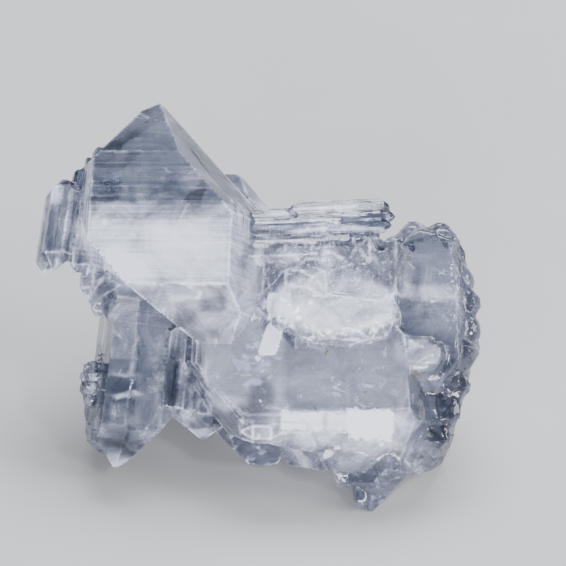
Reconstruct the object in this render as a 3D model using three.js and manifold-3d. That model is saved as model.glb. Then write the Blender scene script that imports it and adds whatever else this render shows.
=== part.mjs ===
// A faden quartz cluster: clear to milky quartz crystals grown together as one solid.
//
// Millimetres, +Z up. Every crystal has quartz's own faces: six prism faces round a
// long axis, and at each end six rhombohedron faces that lean on that axis by one
// fixed angle. The crystals differ only in where they sit, how they point and how
// far each face stands from the crystal's own centre.

import * as THREE from 'three';
import { ConvexGeometry } from 'three/addons/geometries/ConvexGeometry.js';
import { mergeVertices } from 'three/addons/utils/BufferGeometryUtils.js';
import Module from 'manifold-3d';

const wasm = await Module();
wasm.setup();

// ---------------------------------------------------------------- quartz itself

const RHOMB_TILT = THREE.MathUtils.degToRad(51.79); // rhombohedron normal to long axis
const PRISM_STEP = THREE.MathUtils.degToRad(60);    // from one prism face to the next
const NO_END = 60;                                  // an end that is buried in the mass
const CORNER_SLACK = 1e-6;
const TO_CENTRE = [0, 1.2, 0];                      // puts the origin under the middle

// heading: compass angle of the long axis, 0 along +Y and 90 along +X.
// rise: its angle above the horizontal. roll: turn about the axis, and at roll 0
// prism face 0 looks as far up as it can.
function crystalFrame([heading, rise, roll]) {
  const turn = THREE.MathUtils.degToRad(heading);
  const lift = THREE.MathUtils.degToRad(rise);
  const along = new THREE.Vector3(
    Math.sin(turn) * Math.cos(lift),
    Math.cos(turn) * Math.cos(lift),
    Math.sin(lift),
  );
  const up = new THREE.Vector3(
    -Math.sin(turn) * Math.sin(lift),
    -Math.cos(turn) * Math.sin(lift),
    Math.cos(lift),
  );
  const across = new THREE.Vector3().crossVectors(along, up);
  const side = (face) => {
    const angle = face * PRISM_STEP + THREE.MathUtils.degToRad(roll);
    return up.clone().multiplyScalar(Math.cos(angle)).addScaledVector(across, Math.sin(angle));
  };
  return { along, side };
}

// Six numbers, one a face; a single number stands for all six.
const six = (value) => (Array.isArray(value) ? value : Array(6).fill(value));

// sides: how far each prism face is from the centre. tip and foot: how far along the
// axis each end face would meet it. cuts: broken faces, as [heading, rise, distance].
function crystalPlanes({ axis, sides, tip = NO_END, foot = NO_END, cuts = [] }) {
  const { along, side } = crystalFrame(axis);
  const planes = [];
  six(sides).forEach((reach, face) => planes.push({ normal: side(face), reach }));
  const end = (distances, direction) => {
    six(distances).forEach((reach, face) => {
      const normal = side(face)
        .multiplyScalar(Math.sin(RHOMB_TILT))
        .addScaledVector(along, direction * Math.cos(RHOMB_TILT));
      planes.push({ normal, reach: reach * Math.cos(RHOMB_TILT) });
    });
  };
  end(tip, 1);
  end(foot, -1);
  cuts.forEach(([heading, rise, reach]) => {
    planes.push({ normal: crystalFrame([heading, rise, 0]).along, reach });
  });
  return planes;
}

// The convex body behind a set of planes: every corner where three of them meet
// that lies behind all the rest.
function bodyBehind(centre, planes) {
  const corners = [];
  const matrix = new THREE.Matrix3();
  for (let i = 0; i < planes.length; i += 1) {
    for (let j = i + 1; j < planes.length; j += 1) {
      for (let k = j + 1; k < planes.length; k += 1) {
        const [a, b, c] = [planes[i], planes[j], planes[k]];
        matrix.set(
          a.normal.x, a.normal.y, a.normal.z,
          b.normal.x, b.normal.y, b.normal.z,
          c.normal.x, c.normal.y, c.normal.z,
        );
        if (Math.abs(matrix.determinant()) < CORNER_SLACK) continue;
        const corner = new THREE.Vector3(a.reach, b.reach, c.reach).applyMatrix3(matrix.invert());
        const inside = planes.every((p) => p.normal.dot(corner) <= p.reach + CORNER_SLACK);
        if (inside) corners.push(corner.add(centre));
      }
    }
  }
  return toSolid(new ConvexGeometry(corners));
}

function toSolid(geometry) {
  const bare = geometry.clone();
  bare.deleteAttribute('normal');
  bare.deleteAttribute('uv');
  const merged = mergeVertices(bare, 1e-4);
  return new wasm.Manifold(new wasm.Mesh({
    numProp: 3,
    vertProperties: new Float32Array(merged.attributes.position.array),
    triVerts: new Uint32Array(merged.index.array),
  }));
}

function crystal(spec) {
  return bodyBehind(new THREE.Vector3(...spec.at), crystalPlanes(spec));
}

// A growth ledge: a low raised strip on one prism face, lift proud of it, between two
// levels along the axis and two distances across. Its two ends may lean, in degrees,
// and it roots 1 mm inside the crystal.
const LEDGE_ROOT = 1;
function ledge(spec, face, { lift, levels, span, lean = 0 }) {
  const { along, side } = crystalFrame(spec.axis);
  const outward = side(face);
  const across = new THREE.Vector3().crossVectors(along, outward)
    .applyAxisAngle(outward, THREE.MathUtils.degToRad(lean));
  const reach = six(spec.sides)[face];
  const planes = crystalPlanes(spec).filter((plane, index) => index !== face);
  planes.push(
    { normal: outward, reach: reach + lift },
    { normal: outward.clone().negate(), reach: LEDGE_ROOT - reach },
    { normal: along, reach: levels[1] },
    { normal: along.clone().negate(), reach: -levels[0] },
    { normal: across, reach: span[1] },
    { normal: across.clone().negate(), reach: -span[0] },
  );
  return bodyBehind(new THREE.Vector3(...spec.at), planes);
}

// Stairs down from one prism face: the same crystal again, each time a little lower
// on that face and a little wider everywhere else.
function stairs(spec, face, { count, drop, spread }) {
  const bodies = [];
  for (let step = 1; step <= count; step += 1) {
    const wider = (value) => value + spread * step;
    const sides = six(spec.sides).map(wider);
    sides[face] = six(spec.sides)[face] - drop * step;
    bodies.push(crystal({
      ...spec,
      sides,
      tip: six(spec.tip ?? NO_END).map(wider),
      foot: six(spec.foot ?? NO_END).map(wider),
    }));
  }
  return bodies;
}

// ------------------------------------------------------------ the large crystals

const FADEN = [2.8, 36.7, -4.4];        // the direction that most crystals share
const HANGING = [-170, -48.4, 4.8];     // the crystals that point down to the front

const largeCrystals = {
  main: {
    at: [-11, 5.1, 24],
    axis: FADEN,
    sides: [5.8, 10.6, 10.9, 6.7, 8.7, 9.5],
    tip: [13.3, 12.2, 13.6, 19, 17, 17.2],
    foot: [17.1, 26, 40, 30, 9.4, 24],
  },
  shoulder: {
    at: [-2.5, 7.2, 19.2],
    axis: FADEN,
    sides: [3.6, 4.6, 4.6, 4.2, 5.7, 5.5],
    tip: [8.1, 7.8, 7.8, 8.1, 10.7, 10.5],
    foot: 8,
  },
  lowerLeft: {
    at: [-15.9, -8.3, 9.9],
    axis: HANGING,
    sides: [4.2, 2.4, 9.2, 4.2, 6.8, 4.2],
    tip: [10.3, 10, 10.1, 10.4, 11.6, 10.8],
    foot: 15,
  },
  behindLowerLeft: {
    at: [-9, -8.6, 10.2],
    axis: HANGING,
    sides: [1.6, 2, 2.2, 2.4, 2.6, 1.8],
    tip: 6,
    foot: 8,
    cuts: [[HANGING[0], HANGING[1], 3.3]],
  },
  centreLeft: {
    at: [-1.5, -8, 10.7],
    axis: FADEN,
    sides: [5, 8.6, 9, 15, 8, 6.8],
    tip: [13, 12, 14, 16, 14, 12],
    foot: [12, 20, 20, 30, 8, 8.4],
    cuts: [[195, -50, 7.2]],
  },
  centreRight: {
    at: [10.4, -9.6, 10.6],
    axis: [-3.4, 36.7, -4.4],
    sides: [5, 8.4, 9, 15, 9, 7.4],
    tip: [14, 15, 14, 14, 14, 14],
    foot: [10.45, 16, 20, 30, 20, 13.4],
    cuts: [[180, -50, 10]],
  },
  rightUpper: {
    at: [20.2, -1.6, 17.1],
    axis: FADEN,
    sides: [3, 4.4, 6, 6, 7, 6],
    tip: 11,
    foot: 14,
    cuts: [[2.8, 36.7, 7.4], [40, 50, 7], [97, 23, 4.2]],
  },
  rightLower: {
    at: [19.5, -9, 9],
    axis: [-6, 36, 6],
    sides: [3.6, 5.2, 5, 6, 8, 8],
    tip: 9,
    foot: [9, 11, 12, 12, 12, 12],
    cuts: [[116, 0, 4.2], [139, -18, 7.2], [170, -45, 9.6]],
  },
  centreBack: {
    at: [8.6, -2, 16.9],
    axis: FADEN,
    sides: [5, 9.2, 8, 6, 8, 9],
    foot: 12,
    cuts: [[2.8, 36.7, 5.8], [-20, 55, 7.2]],
  },
  backSpur: {
    at: [5, 4, 10],
    axis: [24, -22, 8],
    sides: [3.4, 3.8, 3.2, 3.6, 3.8, 3.2],
    tip: [8.4, 9, 8.6, 9.2, 8.4, 9],
    foot: 8,
  },
  backLeft: {
    at: [-10, 6, 13],
    axis: [-34, -14, 22],
    sides: [3.2, 3, 2.6, 3.2, 3, 2.8],
    tip: [8.6, 8, 8, 8.4, 8, 8.6],
    foot: 8,
  },
  backRight: {
    at: [16, 1.6, 11],
    axis: [48, -12, -10],
    sides: [3.4, 2.8, 3.2, 3.4, 3, 3],
    tip: [7.4, 7, 7.6, 7, 7.4, 7],
    foot: 8,
  },
  heel: {
    at: [1, 0.4, 6],
    axis: [-8, -58, 14],
    sides: [4.4, 5, 6.4, 4.6, 5.4, 6],
    tip: 12,
    foot: 8,
  },
  bottom: {
    at: [13.9, -14.8, 3.9],
    axis: [-170.5, -38, 30],
    sides: [2.6, 3.4, 5, 4, 8, 4],
    tip: [6.8, 6.8, 6.8, 6.8, 6.8, 6.8],
    foot: 7,
  },
  underLip: {
    at: [1, -6, 3],
    axis: [180, -15, 0],
    sides: [4, 7.6, 7.6, 4, 5, 5],
    tip: [6, 10, 10, 14, 9, 9],
    foot: 6,
  },
};

// ------------------------------------------------- thin crystals side by side

// A row of narrow crystals on the left flank, each a stair higher than the last.
const ROW_AXIS = [7.5, 36.7, -4];
const BLUNT_ROW = 0.86;                 // how much of its length a point keeps
const flankRow = [
  { at: [-24.4, 3.5, 22.9], half: 1.0, tip: 5.4, foot: 5.4 },
  { at: [-23, 2.9, 24], half: 1.6, tip: 6.4, foot: 5.6 },
  { at: [-21.4, 4.4, 24.2], half: 0.9, tip: 6.6, foot: 5.6 },
  { at: [-20.2, 3.9, 24.9], half: 0.75, tip: 8, foot: 7.2 },
  { at: [-19, 4.9, 25.2], half: 1.1, tip: 8.4, foot: 8.6 },
].map(({ at, half, tip, foot }) => ({
  at,
  axis: ROW_AXIS,
  sides: [half, half * 1.1, half * 1.2, half, half * 1.2, half * 1.1],
  tip,
  foot,
  cuts: [[ROW_AXIS[0], ROW_AXIS[1], tip * BLUNT_ROW]],
}));

// A bundle of long flat rods that lies across the back and points right. A rod is
// wide times broader than it is thick, and is broken off square at its end.
const ROD_HEADING = 88;
const ROD_RISE = 1.6;
const rods = [
  { at: [8.8, 3.7, 25.7], half: 0.8, wide: 1.5, roll: 12, tip: 7, foot: 5.6, end: 6.4 },
  { at: [9.6, 2.9, 25.1], half: 0.6, wide: 1.6, roll: -14, tip: 6.6, foot: 7, end: 6.2 },
  { at: [7.9, 1.9, 24.5], half: 0.7, wide: 1.3, roll: 22, tip: 7.9, foot: 9, end: 7.5 },
  { at: [4.3, 3, 24.7], half: 0.9, wide: 1.7, roll: 6, tip: 7.4, foot: 6.5, end: 5.4 },
  { at: [3.2, 1.7, 24.5], half: 0.9, wide: 1.2, roll: -8, tip: 6, foot: 6.5, end: 5.6 },
  { at: [5.2, 0.4, 23.4], half: 0.8, wide: 1.5, roll: 10, tip: 6.5, foot: 7, end: 6.1 },
  { at: [3.2, -0.8, 22.9], half: 0.8, wide: 1.4, roll: 18, tip: 5, foot: 5, end: 4.2 },
].map(({ at, half, wide, roll, tip, foot, end }) => ({
  at,
  axis: [ROD_HEADING, ROD_RISE, roll],
  sides: [half, half * wide, half * wide, half, half * wide, half * wide],
  tip,
  foot,
  cuts: [[ROD_HEADING + roll, roll, end]],
}));

// Small blunt crystals that stand out of the right flank, parallel to the large one there.
const BLUNT = 0.65;                     // how much of its length a point keeps
const flankSteps = [
  { at: [18.7, 4.4, 20.8], half: 2, tip: 3.2, foot: 3 },
  { at: [21.6, 4.2, 20.6], half: 2.2, tip: 3.4, foot: 3.4 },
  { at: [23, 3, 19.2], half: 1.6, tip: 2.8, foot: 3 },
  { at: [23.6, 0.6, 17.8], half: 1.8, tip: 2.9, foot: 3.2 },
  { at: [24.2, -2.6, 16.6], half: 1.7, tip: 3, foot: 2.8 },
  { at: [24.3, -5.2, 15.2], half: 1.5, tip: 2.6, foot: 3 },
  { at: [23.4, -8, 13.4], half: 1.9, tip: 3.2, foot: 2.8 },
  { at: [22.6, -10.6, 11.4], half: 1.7, tip: 2.6, foot: 3 },
  { at: [21.6, -12.8, 9.2], half: 1.5, tip: 2.8, foot: 2.8 },
  { at: [20.4, -14.8, 7], half: 1.6, tip: 2.6, foot: 2.6 },
].map(({ at, half, tip, foot }, step) => ({
  at,
  axis: [2.8, 36.7, step % 2 ? 6 : -12],
  sides: [half * 0.9, half * 1.1, half, half * 0.8, half * 1.2, half],
  tip,
  foot,
  cuts: [[FADEN[0], FADEN[1], tip * BLUNT]],
}));

// A clear plate between the lower crystals. Its one end face is trimmed to a shallow
// point by a long edge on the left and a short one on the right.
const plate = {
  at: [-6, -9.4, 9.6],
  axis: [-166, -50, 2],
  sides: [0.3, 4.6, 4.6, 3.4, 2.6, 2.6],
  tip: [3.3, 14, 14, 14, 14, 14],
  foot: 5,
  cuts: [[-133, -34, 5.15], [129, -38, 4.8]],
};

const smallPrism = {
  at: [0.5, -16.2, 9.4],
  axis: [-90, 0, 6],
  sides: 1.25,
  tip: 2.5,
  foot: 2.8,
};

// --------------------------------------------------------- lumps and small grains

// One repeatable stream of chance, so that every build gives the same stone.
let chanceState = 20;
function chance() {
  chanceState = (chanceState * 16807) % 2147483647;
  return chanceState / 2147483647;
}

// A cloudy lump: a rounded body with many small flats, set in the shared frame.
// size: half its width across, along the axis and outwards.
const GOLDEN_ANGLE = 2.4;
const BOXY = 3;                         // 2 is an ellipsoid, more is nearer to a block
const UNEVEN = 0.12;                    // how much of its size one corner may fall short
function lump({ at, size, corners = 36 }) {
  const { along, side } = crystalFrame(FADEN);
  const outward = side(0);
  const across = new THREE.Vector3().crossVectors(along, outward);
  const points = [];
  for (let i = 0; i < corners; i += 1) {
    const height = 1 - (2 * (i + 0.5)) / corners;
    const turn = i * GOLDEN_ANGLE + chance() * 0.5;
    const ring = Math.sqrt(1 - height * height);
    const [x, y, z] = [ring * Math.cos(turn), ring * Math.sin(turn), height];
    const round = (Math.abs(x) ** BOXY + Math.abs(y) ** BOXY + Math.abs(z) ** BOXY) ** (1 / BOXY);
    const swell = (1 - UNEVEN * chance()) / round;
    points.push(new THREE.Vector3(...at)
      .addScaledVector(across, size[0] * swell * x)
      .addScaledVector(along, size[1] * swell * y)
      .addScaledVector(outward, size[2] * swell * z));
  }
  return toSolid(new ConvexGeometry(points));
}

const lumps = [
  { at: [10, -6.9, 18.1], size: [5.8, 3.4, 2.7] },
  { at: [13.6, -6.8, 18.2], size: [3.2, 2.8, 2.4] },
  { at: [5.2, -4.4, 19.6], size: [4.2, 3.4, 2.6] },
  { at: [2.6, -3.8, 18.8], size: [2.4, 3.6, 2.4] },
  { at: [12.6, -0.8, 22.4], size: [2.6, 2.7, 2.3] },
  { at: [7.4, -1.4, 21.4], size: [4.6, 2.3, 2.2] },
  { at: [11.4, -3.6, 20], size: [3.4, 2, 2] },
  { at: [15.4, -3.4, 19.2], size: [2.2, 2.4, 2] },
  { at: [16.4, 2.4, 21], size: [1.6, 1.6, 1.6] },
  { at: [18.6, -9.6, 14.6], size: [3.1, 2.3, 2.1] },
];

// Two rounded lobes beside the lowest point.
const lobes = [
  { at: [10.2, -16.1, 2.6], size: [1.5, 2.2, 1.4] },
  { at: [12.2, -18.4, 1.3], size: [1.3, 1.9, 1.4] },
].map((lobe) => ({ ...lobe, corners: 16 }));

// Small hollows among the lumps, where the mass never closed.
const pits = [
  { at: [12.2, 0.6, 24.8], size: [0.8, 0.6, 1.0] },
  { at: [14.2, -1.4, 24.4], size: [0.7, 0.7, 1.4] },
  { at: [15.8, 0.6, 22.6], size: [0.7, 0.5, 1.2] },
  { at: [7, -1.2, 23.8], size: [0.9, 0.4, 0.9] },
  { at: [18, 1.2, 21.8], size: [0.7, 0.7, 1.2] },
].map((hollow) => ({ ...hollow, corners: 14 }));

// Stubs and grains: small crystals that grew where the large ones meet.
const grains = [
  { at: [-19.4, -1.2, 19.4], axis: HANGING, half: 1.2, tip: 2.6 },
  { at: [-18.2, -2.6, 17.6], axis: [-150, -60, 30], half: 1.1, tip: 2.6 },
  { at: [-17.2, -3.8, 18.6], axis: [-120, -20, 10], half: 1.2, tip: 2.4 },
  { at: [-16.4, -5.2, 18], axis: [-170, 20, 0], half: 1.3, tip: 2.2 },
  { at: [-19.4, -7.6, 11.6], axis: [-100, 10, 20], half: 0.36, tip: 0.8 },
  { at: [-19.6, -8.6, 10.6], axis: [-80, -20, 0], half: 0.4, tip: 0.9 },
  { at: [-19.5, -9.2, 9.4], axis: [-110, -30, 40], half: 0.34, tip: 0.9 },
  { at: [-19.3, -10, 8.6], axis: [-95, 20, 10], half: 0.3, tip: 0.8 },
  { at: [-19.6, -8.1, 11.2], axis: [-120, 35, 0], half: 0.3, tip: 0.7 },
  { at: [-19.6, -9.5, 10], axis: [-95, 15, 20], half: 0.32, tip: 0.7 },
  { at: [2.9, -6.6, 19.4], axis: [2.8, 44, 8], half: 1.1, tip: 2 },
].map(({ at, axis, half, tip }) => ({ at, axis, sides: half, tip, foot: tip + 1 }));

// --------------------------------------------------------- ledges on the main face

const mainLedges = [
  { lift: 0.06, levels: [4.9, 5.05], span: [-4.8, 1.9] },
  { lift: 0.08, levels: [2.6, 2.8], span: [-6.2, 4.4] },
  { lift: 0.06, levels: [1.75, 1.95], span: [-6.6, 5.2] },
  { lift: 0.1, levels: [1.1, 1.35], span: [-5.6, 5.8] },
  { lift: 0.07, levels: [0.3, 0.5], span: [-6.4, 6.2] },
  { lift: 0.09, levels: [-0.85, -0.65], span: [-3.6, 7.2] },
];

// ------------------------------------------------------------------- the cluster

const allSpecs = [
  ...Object.values(largeCrystals),
  ...flankRow,
  ...rods,
  ...flankSteps,
  ...grains,
  plate,
  smallPrism,
];

let cluster = null;
const bodies = [
  ...allSpecs.map(crystal),
  ...mainLedges.map((strip) => ledge(largeCrystals.main, 0, strip)),
  ledge(largeCrystals.centreLeft, 0, { lift: 0.3, levels: [1.3, 4.85], span: [1.6, 3.5], lean: -18 }),
  ledge(largeCrystals.rightUpper, 0, { lift: 0.25, levels: [-1.2, 0.9], span: [-2.6, 3] }),
  ...stairs(largeCrystals.centreLeft, 0, { count: 2, drop: 0.45, spread: 0.32 }),
  ...[...lumps, ...lobes].map(lump),
];
bodies.forEach((body) => {
  cluster = cluster ? cluster.add(body) : body;
});

pits.map(lump).forEach((hollow) => {
  cluster = cluster.subtract(hollow);
});

// The cluster broke off its rock along one flat face, and stands on it.
const BREAK_BLOCK = [120, 120, 40];
const breakBlock = new THREE.BoxGeometry(...BREAK_BLOCK).translate(0, 0, -BREAK_BLOCK[2] / 2);
cluster = cluster.subtract(toSolid(breakBlock));

function toGeometry(solid) {
  const { vertProperties, triVerts } = solid.getMesh();
  const geometry = new THREE.BufferGeometry();
  geometry.setAttribute('position', new THREE.BufferAttribute(vertProperties, 3));
  geometry.setIndex(new THREE.BufferAttribute(triVerts, 1));
  geometry.computeVertexNormals();
  return geometry;
}

const quartz = new THREE.MeshStandardMaterial({ color: '#d9dde4', roughness: 0.15, metalness: 0 });
const mesh = new THREE.Mesh(toGeometry(cluster), quartz);
mesh.name = 'quartz_cluster';
mesh.position.set(...TO_CENTRE);

const group = new THREE.Group();
group.add(mesh);

export default group;
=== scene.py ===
# %% [markdown]
# # A faden quartz cluster
# A piece of rock crystal, 52 mm across: one large crystal, a row of thin ones on its flank, a crystal
# that hangs to the front, two wide ones in the middle, a bundle of rods, and a rough flank on the right.
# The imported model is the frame: it gives the true shape and size, and everything here is placed in it, in
# metres.

# %% Load the frame
import math
import random
import bmesh
import bpy
import numpy as np
from mathutils import Euler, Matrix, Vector, noise
from mathutils.bvhtree import BVHTree
from mathutils.kdtree import KDTree


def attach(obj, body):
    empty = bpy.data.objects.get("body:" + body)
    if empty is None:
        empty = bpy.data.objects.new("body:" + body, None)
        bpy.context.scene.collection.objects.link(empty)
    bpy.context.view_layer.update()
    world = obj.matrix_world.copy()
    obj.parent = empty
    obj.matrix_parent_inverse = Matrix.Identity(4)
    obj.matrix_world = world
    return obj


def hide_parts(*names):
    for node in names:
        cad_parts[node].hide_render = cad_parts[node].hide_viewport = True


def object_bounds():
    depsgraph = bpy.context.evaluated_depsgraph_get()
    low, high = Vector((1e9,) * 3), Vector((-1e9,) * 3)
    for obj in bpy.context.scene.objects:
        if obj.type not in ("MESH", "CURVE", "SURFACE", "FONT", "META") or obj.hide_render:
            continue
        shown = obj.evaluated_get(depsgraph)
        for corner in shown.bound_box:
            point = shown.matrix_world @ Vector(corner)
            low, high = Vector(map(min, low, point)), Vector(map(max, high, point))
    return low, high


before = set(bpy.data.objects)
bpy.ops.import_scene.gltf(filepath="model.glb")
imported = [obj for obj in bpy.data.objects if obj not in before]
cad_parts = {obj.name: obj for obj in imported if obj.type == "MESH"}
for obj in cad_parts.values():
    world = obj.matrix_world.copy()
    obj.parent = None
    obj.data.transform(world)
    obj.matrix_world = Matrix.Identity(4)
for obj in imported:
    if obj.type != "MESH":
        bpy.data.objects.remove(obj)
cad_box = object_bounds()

MM = 0.001
print("frame", [tuple(round(v / MM, 1) for v in corner) for corner in cad_box])

# %% [markdown]
# ## Camera
# A long lens from well above the front keeps the crystals' edges nearly parallel, as they look in the
# hand. A camera could be aimed with a constraint. Plain numbers are used, because they say where it
# stands.

# %% Camera
CAMERA_AT = Vector((3.0, -127.5, 122.0)) * MM
CAMERA_FALL = 39.0                      # degrees below the horizon
FOCAL_PIXELS, FRAME_PIXELS, SENSOR_MM = 1400, 566, 36
NEAREST_SEEN = 10 * MM

lens = bpy.data.cameras.new("hand_lens")
lens.sensor_width = SENSOR_MM
lens.lens = FOCAL_PIXELS / FRAME_PIXELS * SENSOR_MM
lens.clip_start = NEAREST_SEEN
camera = bpy.data.objects.new("hand_camera", lens)
camera.location = CAMERA_AT
camera.rotation_euler = Euler((math.radians(90 - CAMERA_FALL), 0, 0))
bpy.context.scene.collection.objects.link(camera)
bpy.context.scene.camera = camera
print("lens", round(lens.lens, 1), "mm")

# %% [markdown]
# ## Helpers for materials
# Colours are given as sRGB hex, and one function turns them into the linear numbers that Blender
# uses. Another adds a node, sets its values and wires its inputs, and a third starts an empty material.
# Nodes could be wired by hand in the editor. Functions let the lines below read as a recipe.

# %% Colour and node helpers
def linear(hex_colour):
    """The linear red, green, blue and alpha of an sRGB colour."""
    channels = [int(hex_colour[i:i + 2], 16) / 255 for i in (1, 3, 5)]
    return tuple(c / 12.92 if c <= 0.04045 else ((c + 0.055) / 1.055) ** 2.4 for c in channels) + (1.0,)


def add_node(tree, kind, settings=None, inputs=None):
    """A new node: settings are its own options, inputs are values or the sockets that feed it."""
    node = tree.nodes.new(kind)
    for name, value in (settings or {}).items():
        setattr(node, name, value)
    for name, value in (inputs or {}).items():
        socket = node.inputs[name]
        if isinstance(value, bpy.types.NodeSocket):
            tree.links.new(value, socket)
        else:
            socket.default_value = value
    return node


def new_material(name):
    """A material without nodes, and its node tree."""
    material = bpy.data.materials.new(name)
    material.use_nodes = True
    material.node_tree.nodes.clear()
    return material, material.node_tree


print("mid grey is", round(linear("#808080")[0], 3), "in linear numbers")

# %% [markdown]
# ## Floor and light
# A pale matt floor and four soft panels: a wide, low one in front that lights the faces, one above and
# behind that shines through the clear parts, one at the side for the edges, and a small one for the
# sparkle. A single picture of a sky could light it too. Panels were chosen, because each can be moved
# until its faces are right.

# %% Floor
FLOOR_HALF = 3.0
FLOOR_DROP = 0.02 * MM                  # keeps the floor just below the flat underside
BOARD_GRAIN = 400.0                     # grains to the metre
BOARD_DARKEST, BOARD_LIGHTEST = 0.62, 0.66
floor_material, tree = new_material("pale_matt_board")
grain = add_node(tree, "ShaderNodeTexNoise", inputs={"Scale": BOARD_GRAIN, "Detail": 4.0})
shade = add_node(tree, "ShaderNodeMapRange", inputs={
    "Value": grain.outputs["Fac"], "To Min": BOARD_DARKEST, "To Max": BOARD_LIGHTEST})
matt = add_node(tree, "ShaderNodeBsdfPrincipled", inputs={
    "Base Color": shade.outputs["Result"], "Roughness": 0.9})
add_node(tree, "ShaderNodeOutputMaterial", inputs={"Surface": matt.outputs["BSDF"]})

floor_mesh = bpy.data.meshes.new("floor")
floor_mesh.from_pydata([(-FLOOR_HALF, -FLOOR_HALF, 0), (FLOOR_HALF, -FLOOR_HALF, 0),
                        (FLOOR_HALF, FLOOR_HALF, 0), (-FLOOR_HALF, FLOOR_HALF, 0)], [], [(0, 1, 2, 3)])
floor = bpy.data.objects.new("floor", floor_mesh)
floor.location.z = -FLOOR_DROP
floor_mesh.materials.append(floor_material)
bpy.context.scene.collection.objects.link(floor)
print("floor", 2 * FLOOR_HALF, "m wide")

# %% Lights
# place and size in metres, power in watts, colour
PANELS = {
    "front_panel": ((-0.15, -0.75, 0.11), (0.9, 0.2), 13.0, "#ffffff"),
    "back_panel": ((0.10, 0.50, 0.80), (0.7, 0.4), 12.0, "#f4f8ff"),
    "side_panel": ((0.50, -0.05, 0.25), (0.2, 0.4), 2.4, "#ffffff"),
    "spark_panel": ((0.38, -0.32, 0.50), (0.07, 0.07), 0.8, "#ffffff"),
}
ROOM_COLOUR, ROOM_STRENGTH = "#c9ced6", 0.30
for name, (at, size, watts, colour) in PANELS.items():
    light = bpy.data.lights.new(name, "AREA")
    light.shape = "RECTANGLE"
    light.size, light.size_y = size
    light.energy = watts
    light.color = linear(colour)[:3]
    panel = bpy.data.objects.new(name, light)
    panel.location = at
    panel.rotation_euler = (-Vector(at)).to_track_quat("-Z", "Y").to_euler()
    bpy.context.scene.collection.objects.link(panel)

world = bpy.data.worlds.new("studio")
world.use_nodes = True
background = world.node_tree.nodes["Background"].inputs
background["Color"].default_value = linear(ROOM_COLOUR)
background["Strength"].default_value = ROOM_STRENGTH
bpy.context.scene.world = world
print(len(PANELS), "panels")

# %% [markdown]
# ## Which way each crystal points
# Quartz has one set of angles. Six prism faces stand round a long axis, and the end faces lean on it by
# the same angle in every crystal. So a face's direction alone tells which crystal it belongs to and what
# kind of face it is, and that decides its finish: fine growth lines across the prism faces, none on the
# end faces. Each face could be named by hand instead. Working it out keeps it right when the solid is
# made again.

# %% Crystal directions
RHOMB_TILT = math.radians(51.79)        # between an end face and the plane across the long axis
SIDES = 6
AXES = {                                # heading, rise and roll in degrees
    "main": (2.8, 36.7, -4.4),
    "middle_right": (-3.4, 36.7, -4.4),
    "right_lower": (-6, 36, 6),
    "flank_row": (7.5, 36.7, -4),
    "flank_step": (2.8, 36.7, 6),
    "flank_step_two": (2.8, 36.7, -12),
    "hanging": (-170, -48.4, 4.8),
    "plate": (-166, -50, 2),
    "bottom": (-170.5, -38, 30),
    "under_lip": (180, -15, 0),
    "small_prism": (-90, 0, 6),
    "back_spur": (24, -22, 8),
    "back_left": (-34, -14, 22),
    "back_right": (48, -12, -10),
    "heel": (-8, -58, 14),
}
AXES.update({f"rod_{roll}": (88, 1.6, roll) for roll in (12, -14, 22, 6, -8, 10, 18)})


def crystal_directions(heading, rise, roll):
    """The long axis, and a function that gives the direction of each prism face."""
    turn, lift, spin = (math.radians(v) for v in (heading, rise, roll))
    along = Vector((math.sin(turn) * math.cos(lift), math.cos(turn) * math.cos(lift), math.sin(lift)))
    up = Vector((-math.sin(turn) * math.sin(lift), -math.cos(turn) * math.sin(lift), math.cos(lift)))
    across = along.cross(up)
    return along, lambda face: (up * math.cos(face * math.tau / SIDES + spin)
                                + across * math.sin(face * math.tau / SIDES + spin))


face_book = []                          # direction, kind and long axis of every face that a crystal can have
for name, angles in AXES.items():
    along, side = crystal_directions(*angles)
    for face in range(SIDES):
        face_book.append((side(face), "prism", name))
        for way in (1, -1):
            lean = side(face) * math.sin(RHOMB_TILT) + along * way * math.cos(RHOMB_TILT)
            face_book.append((lean, "end", name))
print(len(face_book), "face directions")

# %% [markdown]
# ## Where the stone is crisp and where it is soft
# The large crystals have edges like cut glass. The cloudy lumps and the right flank grew fast and are
# rounded and uneven. A brush could paint this on the mesh. Here it is a list of round parts, so that it
# can be read and changed. Places are in the main crystal's own directions: across, along and out of its
# widest face.

# %% Crisp and soft parts
MAIN_ALONG, main_side = crystal_directions(*AXES["main"])
MAIN_OUT = main_side(0)
MAIN_ACROSS = MAIN_ALONG.cross(MAIN_OUT)
TO_MAIN = np.array([MAIN_ACROSS, MAIN_ALONG, MAIN_OUT]).T

# centre and half size in mm, softness from 0, crisp, to 1, round
SOFT_START = 0.03
SOFT_PARTS = [
    ("main", (-9, 17, 14), (16, 18, 18), 0.0),
    ("middle", (6, 0, 14), (15, 10, 9), 0.03),
    ("foot", (11, -9, 13), (11, 3, 6), 0.3),
    ("right_edge", (24.5, 4, 13), (3.4, 18, 8), 0.4),
    ("right_top", (21, 19, 14.5), (5, 2.6, 4), 0.4),
    ("lumps", (10.5, 8.5, 18.5), (8.5, 4.6, 4), 0.42),
    ("rods", (7, 18.4, 18), (11, 3.6, 5), 0.03),
    ("flank", (-21, 17, 20), (3.5, 9, 6), 0.05),
    ("lower_left_rim", (-18, -2, 13), (1.3, 7, 6), 0.4),
    ("bottom", (15.5, -12.5, 11), (6, 4, 5), 0.02),
]
# the same, with how far the skin swells in mm
SWOLLEN_PARTS = [
    ("lower_left_rim", (-18.4, -5.0, 12.6), (2.0, 6.2, 6), 0.8),
]
ROUGH_SOFTNESS = 0.42                   # broken faces and lumps, wherever they are
PART_RIM = 0.1                          # half of a part's fading rim, as a share of its size


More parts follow.
